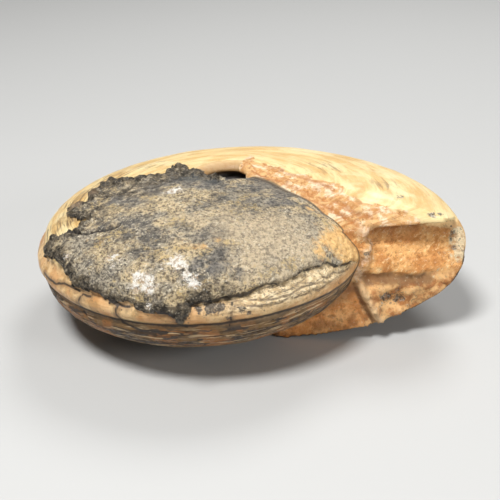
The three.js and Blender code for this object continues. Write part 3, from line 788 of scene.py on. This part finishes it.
class Nodes:
    """Short ways to write a node material. The name of a mask stands for its value."""

    def __init__(self, material):
        material.use_nodes = True
        self.tree = material.node_tree
        self.shader = self.tree.nodes["Principled BSDF"]
        self.position = self.new("TexCoord").outputs["Object"]

    def new(self, kind):
        return self.tree.nodes.new("ShaderNode" + kind)

    def link(self, value, socket):
        if isinstance(value, str):
            value = self.mask(value)
        if isinstance(value, bpy.types.NodeSocket):
            self.tree.links.new(value, socket)
        else:
            socket.default_value = value

    def filled(self, node, values, output):
        """One output of a node, with these values at its inputs."""
        for name, value in values.items():
            self.link(value, node.inputs[name])
        return node.outputs[output]

    def mask(self, name, output="Fac"):
        node = self.new("Attribute")
        node.attribute_name = name
        return node.outputs[output]

    def math(self, kind, a, b=0):
        node = self.new("Math")
        node.operation = kind
        return self.filled(node, {0: a, 1: b}, 0)

    def add(self, a, b):
        return self.math("ADD", a, b)

    def times(self, a, b):
        return self.math("MULTIPLY", a, b)

    def less(self, a, b):
        return self.math("SUBTRACT", a, b)

    def larger(self, a, b):
        return self.math("MAXIMUM", a, b)

    def ramp(self, value, low, high, start=0, end=1):
        node = self.new("MapRange")
        node.interpolation_type = "SMOOTHSTEP"
        values = {"Value": value, "From Min": low, "From Max": high, "To Min": start, "To Max": end}
        return self.filled(node, values, "Result")

    def stretched(self, vector, scale, slant=0):
        """The vector, turned by the slant about Y and then scaled."""
        turned = self.filled(self.new("Mapping"), {"Vector": vector, "Rotation": (0, slant, 0)}, "Vector")
        return self.filled(self.new("Mapping"), {"Vector": turned, "Scale": scale}, "Vector")

    def noise(self, size, detail=4, rough=0.7, vector=None, twist=0):
        """Noise from 0 to 1 with bumps of this size: metres on the object, or units of the vector."""
        values = {"Vector": self.position if vector is None else vector, "Scale": 1 / size}
        values.update({"Detail": detail, "Roughness": rough, "Distortion": twist})
        return self.filled(self.new("TexNoise"), values, "Fac")

    def coil_noise(self, detail, rough, stretch, twist):
        """Noise drawn out along the coil."""
        vector = self.stretched(self.mask("coil", "Vector"), (*stretch, 1))
        return self.noise(1, detail, rough, vector, twist)

    def cells(self, size):
        return self.filled(self.new("TexVoronoi"), {"Vector": self.position, "Scale": 1 / size}, "Distance")

    def mix(self, a, b, amount, most=None):
        """From a to b by this amount, or by only so much of it."""
        node = self.new("Mix")
        node.data_type = "RGBA"
        node.clamp_factor = True
        amount = amount if most is None else self.times(amount, most)
        a, b = [(*colour, 1) if isinstance(colour, tuple) else colour for colour in (a, b)]
        return self.filled(node, {0: amount, 6: a, 7: b}, 2)

    def blend(self, a, b, value, low, high, most=None):
        """From a to b as the value goes from low to high, or only so much of the way."""
        return self.mix(a, b, self.ramp(value, low, high), most)

    def ragged(self, name, noise, amount):
        """A mask with its edges made ragged by noise."""
        return self.add(name, self.times(self.less(noise, 0.5), amount))

    def spotted(self, name, noise, amount, low, high):
        """Ragged spots where a mask is, and none away from it."""
        spots = self.ramp(self.ragged(name, noise, amount), low, high)
        return self.times(spots, self.ramp(name, 0.05, 0.3))

    def bump(self, height):
        values = {"Strength": BUMP_STRENGTH, "Distance": BUMP_HEIGHT, "Height": height}
        return self.filled(self.new("Bump"), values, "Normal")


def cream_shell(n, lines, fine, patches, speckle):
    """Cream with fine lines along the coil, brown where it is worn."""
    cream = n.blend((0.7, 0.45, 0.17), (0.84, 0.65, 0.32), lines, 0.38, 0.6)
    cream = n.blend(cream, (0.6, 0.33, 0.12), fine, 0.54, 0.68, 0.55)
    cream = n.blend(cream, (0.9, 0.77, 0.46), patches, 0.52, 0.68, 0.6)
    cream = n.blend(cream, (0.5, 0.3, 0.12), speckle, 0.6, 0.72, 0.4)
    worn = n.ragged("worn", n.noise(0.0022, 5, 0.7), 2.2)
    cream = n.blend(cream, (0.42, 0.27, 0.12), worn, 0.45, 0.9, 0.75)
    scratch = n.times(n.ramp(fine, 0.52, 0.6), n.ramp("worn", 0.15, 0.6))
    return n.mix(cream, (0.16, 0.1, 0.055), scratch, 0.75)


def tan_keel(n, patches, speckle):
    """Tan and orange, browner beside the sutures, with small black dots."""
    tan = n.blend((0.52, 0.3, 0.115), (0.81, 0.56, 0.28), n.noise(0.0028, 5, 0.65), 0.38, 0.6)
    tan = n.blend(tan, (0.3, 0.19, 0.09), speckle, 0.55, 0.68, 0.6)
    tan = n.blend(tan, (0.62, 0.27, 0.08), patches, 0.46, 0.58, 0.55)
    tan = n.blend(tan, (0.24, 0.13, 0.06), n.ragged("suture", speckle, 2), 0.9, 0.2, 0.7)
    return n.blend(tan, (0.07, 0.05, 0.035), n.noise(0.0006, 2, 0.5), 0.66, 0.72, 0.8)


def beige_strip(n, speckle):
    """Beige with wavy dark lines, in front of the crust."""
    wavy = n.coil_noise(3, 0.6, (0.35, 2.2), 1.6)
    band = n.blend((0.57, 0.41, 0.22), (0.86, 0.68, 0.42), speckle, 0.4, 0.58)
    band = n.blend(band, (0.12, 0.09, 0.06), wavy, 0.55, 0.64, 0.75)
    band = n.blend(band, (0.16, 0.13, 0.09), n.noise(0.0005, 3, 0.7), 0.54, 0.64, 0.75)
    return n.blend(band, (0.88, 0.73, 0.47), n.noise(0.0009), 0.56, 0.66, 0.5)


def underside_with_painted_shade(n, lines, fine, patches):
    """Dark brown with pale streaks and black dashes, calmer towards the bottom; the dark brown is partly
    painted shade of the underside.
    """
    side = n.ramp("level", -9.5, -5.5, 0.3, 1)
    dull = n.blend((0.048, 0.024, 0.008), (0.19, 0.105, 0.036), lines, 0.42, 0.56)
    dull = n.blend(dull, (0.3, 0.12, 0.03), patches, 0.49, 0.56, n.times(side, 0.8))
    dull = n.blend(dull, (0.66, 0.49, 0.28), fine, 0.55, 0.62, n.times(side, 0.75))
    dashes = n.coil_noise(2, 0.5, (0.36, 1.6), 1)
    return n.blend(dull, (0.035, 0.026, 0.02), dashes, 0.55, 0.58, n.times(side, 0.92))


def shell_marks(n, tone, speckle):
    """Dark stains by the crust, threads on the strip, painted shade on the roll, tan-orange and then brown
    towards the pit, and painted shade round and in the furrow.
    """
    stain = n.spotted("stain", n.noise(0.0008, 4, 0.75), 2, 0.45, 0.65)
    stain_tone = n.blend((0.032, 0.026, 0.022), (0.21, 0.17, 0.12), n.noise(0.00045, 4, 0.75), 0.46, 0.62)
    tone = n.mix(tone, stain_tone, stain, 0.92)
    thread = n.times(n.ramp("strip_line", 0.26, 0.08), n.ramp(speckle, 0.42, 0.52, 0.25, 0.8))
    tone = n.mix(tone, (0.12, 0.08, 0.045), thread)
    # Painted shade on the roll's underside, tan-orange and then brown next to the pit.
    tone = n.mix(tone, (0.66, 0.4, 0.17), "roll", 0.45)
    tone = n.mix(tone, (0.26, 0.13, 0.05), "roll_underside_shade", 0.9)
    # A band of painted shade round the furrow under the keel, and a dark line of painted shade in the furrow
    # itself.
    level = n.ragged("level", n.noise(0.002), 0.7)
    shade = n.times(n.ramp(level, -2.7, -2), n.ramp(level, -1, -1.6))
    tone = n.mix(tone, (0.16, 0.1, 0.05), shade, 0.6)
    furrow = n.times(n.ramp(level, -2.12, -1.92), n.ramp(level, -1.42, -1.62))
    return n.mix(tone, (0.028, 0.02, 0.015), furrow, 0.92)


def shell_colour(n):
    """Cream shell, tan on the keel, beige on the strip, dull and dashed underneath, its dark partly painted
    shade.
    """
    lines = n.coil_noise(4, 0.6, (0.1, 0.8), 0.5)
    fine = n.coil_noise(3, 0.6, (0.2, 3.2), 0.6)
    patches = n.noise(0.006, 4, 0.6)
    speckle = n.noise(0.0009)
    cream = cream_shell(n, lines, fine, patches, speckle)
    off_keel = n.ramp(n.math("ABSOLUTE", "level"), 1.8, 3.6)
    off_strip = n.ramp("strip", 1, 0.4)
    tone = n.mix(tan_keel(n, patches, speckle), cream, n.times(off_keel, off_strip))
    on_strip = n.times("strip", n.ramp("level", -1.1, 0.4))
    tone = n.mix(tone, beige_strip(n, speckle), on_strip)
    # Below the keel the colour is painted dark, partly as shade of the underside.
    tone = n.mix(tone, underside_with_painted_shade(n, lines, fine, patches), "low")
    return shell_marks(n, tone, speckle)


def crust_ground(n, grain, mottle, patch):
    """Grey, brown and nearly black, paler towards the front right, with ochre places."""
    broad = n.noise(0.008, 5, 0.62)
    grey = n.blend((0.11, 0.092, 0.07), (0.49, 0.42, 0.31), grain, 0.4, 0.56)
    brown = n.blend((0.17, 0.115, 0.065), (0.74, 0.58, 0.34), grain, 0.39, 0.55)
    tone = n.blend(grey, brown, patch, 0.42, 0.58)
    tone = n.blend(tone, (0.085, 0.08, 0.075), broad, 0.5, 0.38, n.ramp(mottle, 0.42, 0.58, 0.25, 0.85))
    tone = n.blend(tone, (0.54, 0.45, 0.32), broad, 0.56, 0.66, 0.45)
    pale = n.blend((0.345, 0.27, 0.18), (0.69, 0.55, 0.36), grain, 0.38, 0.56)
    tone = n.blend(tone, pale, n.ragged("pale", patch, 1.4), 0.15, 0.9)
    ochre = n.times(n.ramp(n.noise(0.005, 5, 0.7), 0.54, 0.62), n.ramp(grain, 0.44, 0.56))
    return n.mix(tone, (0.62, 0.43, 0.15), ochre, 0.6)


def crust_specks(n, tone, speck):
    """White and black specks in clumps, with few black ones on the pale part."""
    clump = n.noise(0.0024, 4, 0.65)
    white = n.times(n.ramp(speck, 0.57, 0.62), n.ramp(clump, 0.44, 0.58, 0.15, 0.95))
    tone = n.mix(tone, (0.86, 0.76, 0.56), white)
    pale_part = n.ramp("pale", 0.2, 0.7)
    black = n.times(n.ramp(speck, 0.44, 0.38), n.ramp(pale_part, 0, 1, 0.95, 0.2))
    black = n.times(black, n.ramp(clump, 0.56, 0.42, 0.2, 1))
    return n.mix(tone, (0.04, 0.034, 0.028), black)


def crust_colour(n):
    """Granular grey-brown crust, nearly black at its knobbly rim, with slate and tan places."""
    grain = n.noise(0.00055, 4, 0.8)
    speck = n.noise(0.00032, 3, 0.7)
    mottle = n.noise(0.0013)
    patch = n.noise(0.0042, 4, 0.6)
    tone = crust_specks(n, crust_ground(n, grain, mottle, patch), speck)
    slate = n.blend((0.062, 0.06, 0.057), (0.27, 0.245, 0.21), grain, 0.4, 0.6)
    tone = n.blend(tone, slate, n.ragged("slate", mottle, 1.5), 0.3, 0.75, 0.85)
    tongue = n.blend((0.04, 0.045, 0.048), (0.115, 0.115, 0.105), patch, 0.4, 0.62)
    tone = n.blend(tone, tongue, "smooth", 0.3, 0.8, n.ramp(grain, 0.68, 0.5, 0.35, 1))
    tan = n.blend((0.68, 0.33, 0.1), (0.97, 0.62, 0.25), grain, 0.34, 0.54)
    tone = n.blend(tone, tan, n.ragged("tan", mottle, 1.6), 0.3, 1)
    rim = n.blend((0.03, 0.023, 0.015), (0.16, 0.125, 0.08), n.noise(0.0009), 0.42, 0.6)
    rim = n.blend(rim, (0.5, 0.43, 0.31), speck, 0.58, 0.64, 0.7)
    tone = n.blend(tone, rim, n.ragged("dark", mottle, 1.8), 0.3, 0.85)
    flake = n.blend((0.2, 0.14, 0.085), (0.36, 0.26, 0.16), mottle, 0.4, 0.6)
    return n.blend(tone, flake, "flake", 0.35, 0.65)


def slope_colour(n, blotch, fine):
    """Streaky orange with pale blotches, and painted shade in red-brown along its small ledges."""
    streak = n.coil_noise(4, 0.65, (0.2, 0.8), 1)
    thin = n.coil_noise(3, 0.6, (0.35, 2.4), 0.8)
    tone = n.blend((0.55, 0.245, 0.07), (0.76, 0.47, 0.2), streak, 0.4, 0.58)
    tone = n.blend(tone, (0.94, 0.79, 0.56), blotch, 0.5, 0.61, 0.8)
    tone = n.blend(tone, (0.55, 0.24, 0.07), thin, 0.55, 0.64, 0.6)
    # Painted shade in red-brown along the small ledges of the slope.
    return n.blend(tone, (0.48, 0.19, 0.055), n.ragged("step", fine, 1.6), 0.7, 0.1, 0.65)


def hollow_colour(n):
    """Deep orange with slanted fibres, and a brown band of painted shade under the ledge, partly a brown
    stain.
    """
    fibre = n.noise(0.0006, 4, 0.75, n.stretched(n.position, (0.32, 1, 1), FIBRE_SLANT))
    tufts = n.noise(0.0024, 4, 0.6)
    deep = n.blend((0.62, 0.26, 0.065), (0.86, 0.46, 0.16), tufts, 0.38, 0.6)
    deep = n.blend(deep, (0.44, 0.16, 0.035), fibre, 0.48, 0.38, 0.7)
    deep = n.blend(deep, (1, 0.74, 0.38), fibre, 0.55, 0.66, 0.8)
    # Painted shade under the ledge, partly a brown stain.
    return n.blend(deep, (0.3, 0.12, 0.035), n.ragged("under", tufts, 1.2), 0.1, 1, 0.54)


def foot_colour(n, tone, blotch):
    """The blocky foot, painted shade in brown along the groove over it, its smooth facet with painted shade
    towards the inner turn, partly brown, and the ridge with a painted highlight and painted shade on the step
    beside it.
    """
    block = n.blend((0.5, 0.2, 0.055), (0.84, 0.5, 0.21), n.noise(0.0016, 4, 0.65), 0.4, 0.58)
    block = n.blend(block, (0.24, 0.17, 0.1), n.noise(0.0011), 0.58, 0.68, 0.7)
    tone = n.mix(tone, block, "foot")
    groove_shade_amount = n.ramp("groove", 0.05, 0.3, 0, 0.85)
    # Painted shade in brown along the groove over the foot.
    tone = n.blend(tone, (0.22, 0.105, 0.038), n.ragged("groove", blotch, 1.2), 0.3, 0.9, groove_shade_amount)
    smooth = n.blend((0.79, 0.31, 0.08), (0.97, 0.51, 0.19), blotch, 0.4, 0.6)
    smooth = n.blend(smooth, (0.46, 0.17, 0.05), n.noise(0.004, 4, 0.6), 0.5, 0.6, 0.7)
    tone = n.mix(tone, smooth, "facet")
    # A painted highlight along the foot's ridge.
    tone = n.mix(tone, (0.94, 0.72, 0.42), "ridge", 0.55)
    # Painted shade on the step beside the ridge.
    tone = n.blend(tone, (0.24, 0.1, 0.035), "foot_step", 0.5, 0.15, 0.75)
    # The facet darkens towards the inner turn, partly painted shade and partly brown.
    return n.blend(tone, (0.22, 0.1, 0.04), "over", 3, 0.4, n.times("facet", 0.6))


def rind_colour(n, tone, fine):
    """A pale rind with dark specks at the right margin of the break."""
    beside_rim = n.times(n.ramp("inset", 2.6, 1.2), "hollow")
    rind = n.larger(n.times(beside_rim, n.ramp("level", -4.5, -1.5)), "pale_margin")
    pale = n.ramp(n.add(rind, n.times(n.less(fine, 0.5), 1.6)), 0.4, 0.8)
    rind_tone = n.blend((0.52, 0.41, 0.26), (0.84, 0.71, 0.46), fine, 0.42, 0.58)
    tone = n.mix(tone, rind_tone, pale, 0.85)
    speck = n.times(n.ramp(n.noise(0.0007, 3, 0.7), 0.56, 0.64), n.ramp(rind, 0.2, 0.6))
    return n.mix(tone, (0.12, 0.1, 0.07), speck, 0.85)


def stone_colour(n):
    """Rough orange stone: slope, hollow, the spur's pale rubble, foot and rind, all finely grained."""
    blotch = n.noise(0.0026, 5, 0.65)
    fine = n.noise(0.0007, 4, 0.75)
    tone = slope_colour(n, blotch, fine)
    in_hollow = n.times("hollow", n.ramp("spur", 0.8, 0.3, 0.4, 1))
    tone = n.mix(tone, hollow_colour(n), in_hollow)
    near_spur = n.ramp("spur", 0.2, 0.6, 0, 0.8)
    rubble = n.ragged("spur", n.noise(0.0011, 4, 0.75), 3)
    tone = n.blend(tone, (0.88, 0.62, 0.4), rubble, 0.75, 1.05, near_spur)
    tone = rind_colour(n, foot_colour(n, tone, blotch), fine)
    tone = n.blend(tone, (0.9, 0.78, 0.54), fine, 0.58, 0.7, 0.5)
    return n.blend(tone, (0.28, 0.11, 0.03), fine, 0.44, 0.34, 0.6)


def stone_part(n):
    """How far each point is broken stone, with a ragged edge."""
    ragged = n.times(n.less(n.noise(0.0018), 0.5), 2.4)
    stone = n.ramp(n.add("stone_in", ragged), -0.15, 0.3)
    broken = n.ramp(n.add("inset", n.times(ragged, 0.5)), -0.1, 0.25)
    stone = n.times(stone, n.larger(broken, n.less(1, "below")))
    return n.times(stone, n.ramp("over", -0.02, 0.12))


def white_and_cracks(n, colour):
    """White crystals on shell and crust, and the dark of sutures and cracks, with painted shadow under the
    crust's front edge along its crack.
    """
    white = n.spotted("white", n.noise(0.001, 5, 0.85), 3.4, 0.5, 0.8)
    chalk = n.blend((0.52, 0.38, 0.25), (0.97, 0.92, 0.83), n.noise(0.0006, 4, 0.8), 0.42, 0.53)
    colour = n.mix(colour, chalk, white)
    line = n.ramp("suture", 0.24, 0.1)
    granular = n.ramp(n.noise(0.0006, 3, 0.7), 0.44, 0.52)
    open_part = n.larger(granular, n.ramp("pale", 0.75, 0.45))
    # Dark along the crack at the crust's front edge, partly the crack and partly painted shadow of the edge
    # above it.
    crack_and_ledge_shadow = n.times(n.ramp("edge_crack", 0.26, 0.1), open_part)
    split = n.ramp("crust_crack", 0.42, 0.16)
    dark = n.larger(n.larger(line, crack_and_ledge_shadow), split)
    dark = n.times(dark, n.ramp("outer", 0.5, 0.2))
    return n.mix(colour, (0.028, 0.022, 0.018), dark, 0.9)


def crystals_and_painted_shade(n, colour, crust, stone):
    """Dark crystals at the margin of the break, painted shade in the crease of its seam, which is partly its
    own dark colour, painted shade in small hollows of stone and crust, and painted shade deep in the pit.
    """
    pit = n.spotted("dark_margin", n.noise(0.0007, 4, 0.75), 2.2, 0.5, 0.8)
    crystals = n.blend((0.08, 0.068, 0.05), (0.42, 0.38, 0.31), n.noise(0.0005, 3, 0.7), 0.46, 0.6)
    colour = n.mix(colour, crystals, pit, 0.9)
    # Painted shade in the crease where stone meets shell, partly its own dark colour.
    seam = n.ramp(n.math("ABSOLUTE", "over"), 0.22, 0.06)
    seam = n.times(seam, n.ramp("inset", 0, 0.3))
    colour = n.mix(colour, (0.1, 0.07, 0.045), seam, 0.8)
    # Painted shade in the low spots of the stone's relief.
    stone_hollow_shade = n.times(n.ramp("cavity", -0.05, -0.2), 0.4)
    colour = n.mix(colour, (0.28, 0.1, 0.025), n.times(stone_hollow_shade, stone))
    # Painted shade in the low spots of the crust's relief, between its knobs.
    crust_hollow_shade = n.times(n.ramp("crust_cavity", 0.02, -0.12), 0.5)
    only_crust = n.times(crust, n.less(1, stone))
    colour = n.mix(colour, (0.05, 0.04, 0.03), n.times(crust_hollow_shade, only_crust))
    # Painted shade, nearly black, deep inside the pit.
    return n.mix(colour, (0.022, 0.015, 0.011), "deep")


def roughness(n, rough_part):
    """Shell is a little glossy, crust, stone and underside are matt."""
    gloss = n.ramp(n.noise(0.0012, 3, 0.6), 0.35, 0.65, 0.32, 0.5)
    matt = n.ramp(n.noise(0.0008, 3, 0.6), 0.35, 0.65, 0.42, 0.75)
    return n.filled(n.new("Mix"), {0: n.larger(rough_part, "low"), 2: gloss, 3: matt}, 0)


def fine_bumps(n, crust, stone, rough_part):
    """Grains, small knobs and pits of the crust, lines of the shell, and lumps near the keel."""
    grains = n.noise(0.0006, 5, 0.8)
    shell_lines = n.coil_noise(4, 0.65, (0.2, 2.4), 0.5)
    knobs = n.times(n.ramp(n.cells(0.0009), 0.1, 0.8, 1, 0), n.ramp("knobby", 0.1, 0.6))
    pits = n.ramp(n.cells(0.00075), 0.35, 0.7, 0.4, 0)
    grain_height = n.add(n.ramp(crust, 0, 1, 0.2, 1.1), n.times(stone, 0.35))
    uneven = n.add(n.times(grains, grain_height), n.times(knobs, crust))
    uneven = n.add(uneven, n.times(shell_lines, n.ramp(rough_part, 0, 0.6, 0.35, 0)))
    lumps = n.times(n.noise(0.0014, 4, 0.6), n.ramp("strip", 0, 1, 0.35, 1.4))
    near_keel = n.ramp(n.math("ABSOLUTE", "level"), 6, 2)
    uneven = n.add(uneven, n.times(lumps, near_keel))
    not_smooth = n.times(crust, n.ramp("smooth", 0.6, 0.2))
    uneven = n.add(uneven, n.times(pits, not_smooth))
    return n.bump(uneven)


def fossil_material():
    material = bpy.data.materials.new("fossil_stone")
    n = Nodes(material)
    crust = n.ramp("on_crust", 0.3, 0.6)
    stone = stone_part(n)
    rough_part = n.larger(crust, stone)
    colour = n.mix(shell_colour(n), crust_colour(n), crust)
    colour = white_and_cracks(n, colour)
    colour = n.mix(colour, stone_colour(n), stone)
    colour = crystals_and_painted_shade(n, colour, crust, stone)
    n.link(colour, n.shader.inputs["Base Color"])
    n.link(roughness(n, rough_part), n.shader.inputs["Roughness"])
    n.link(fine_bumps(n, crust, stone, rough_part), n.shader.inputs["Normal"])
    return material


def floor_material():
    material = bpy.data.materials.new("pale_floor")
    n = Nodes(material)
    n.shader.inputs["Base Color"].default_value = FLOOR_COLOUR
    n.shader.inputs["Roughness"].default_value = 0.75
    return material


# the stage, in metres
FLOOR_SIZE = 3.0
FLOOR_COLOUR = (0.50, 0.50, 0.49, 1)
LIGHT_AIM = (0, 0, 0.01)
WORLD_COLOUR = (1.0, 0.99, 0.97, 1)
WORLD_STRENGTH = 0.13
# the camera, as fitted to the photo
CAMERA_AIM = Vector((0.000201, -0.003772, 0.010951))
CAMERA_DISTANCE = 0.15547
CAMERA_ELEVATION = math.radians(24.9)
CAMERA_LENS = 72.0
SENSOR_WIDTH = 36.0
NEAREST_SEEN = 0.005


def make_floor():
    bpy.ops.mesh.primitive_plane_add(size=FLOOR_SIZE, location=(0, 0, 0))
    floor = bpy.context.object
    floor.name = "floor"
    floor.data.materials.append(floor_material())


def add_light(name, place, size, power):
    light = bpy.data.lights.new(name, "AREA")
    light.shape = "DISK"
    light.size = size
    light.energy = power
    lamp = bpy.data.objects.new(name, light)
    bpy.context.scene.collection.objects.link(lamp)
    lamp.location = place
    lamp.rotation_euler = (Vector(LIGHT_AIM) - Vector(place)).to_track_quat("-Z", "Y").to_euler()


def make_lights():
    add_light("key", place=(-0.10, -0.17, 0.38), size=0.12, power=2.05)
    add_light("back", place=(0.10, 0.26, 0.36), size=0.20, power=1.0)
    add_light("side", place=(0.36, -0.28, 0.20), size=0.14, power=0.8)
    world = bpy.data.worlds.new("studio")
    bpy.context.scene.world = world
    world.use_nodes = True
    background = world.node_tree.nodes["Background"]
    background.inputs["Color"].default_value = WORLD_COLOUR
    background.inputs["Strength"].default_value = WORLD_STRENGTH
    bpy.context.scene.view_settings.view_transform = "Standard"


def make_camera():
    data = bpy.data.cameras.new("camera")
    data.lens = CAMERA_LENS
    data.sensor_width = SENSOR_WIDTH
    data.clip_start = NEAREST_SEEN
    camera = bpy.data.objects.new("camera", data)
    bpy.context.scene.collection.objects.link(camera)
    back = Vector((0, -math.cos(CAMERA_ELEVATION), math.sin(CAMERA_ELEVATION)))
    camera.location = CAMERA_AIM + CAMERA_DISTANCE * back
    camera.rotation_euler = (-back).to_track_quat("-Z", "Y").to_euler()
    bpy.context.scene.camera = camera


make_camera()
make_lights()
make_floor()
fossil = make_fossil()
fossil.data.materials.append(fossil_material())
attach(fossil, "root")
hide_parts("ammonite_fossil")
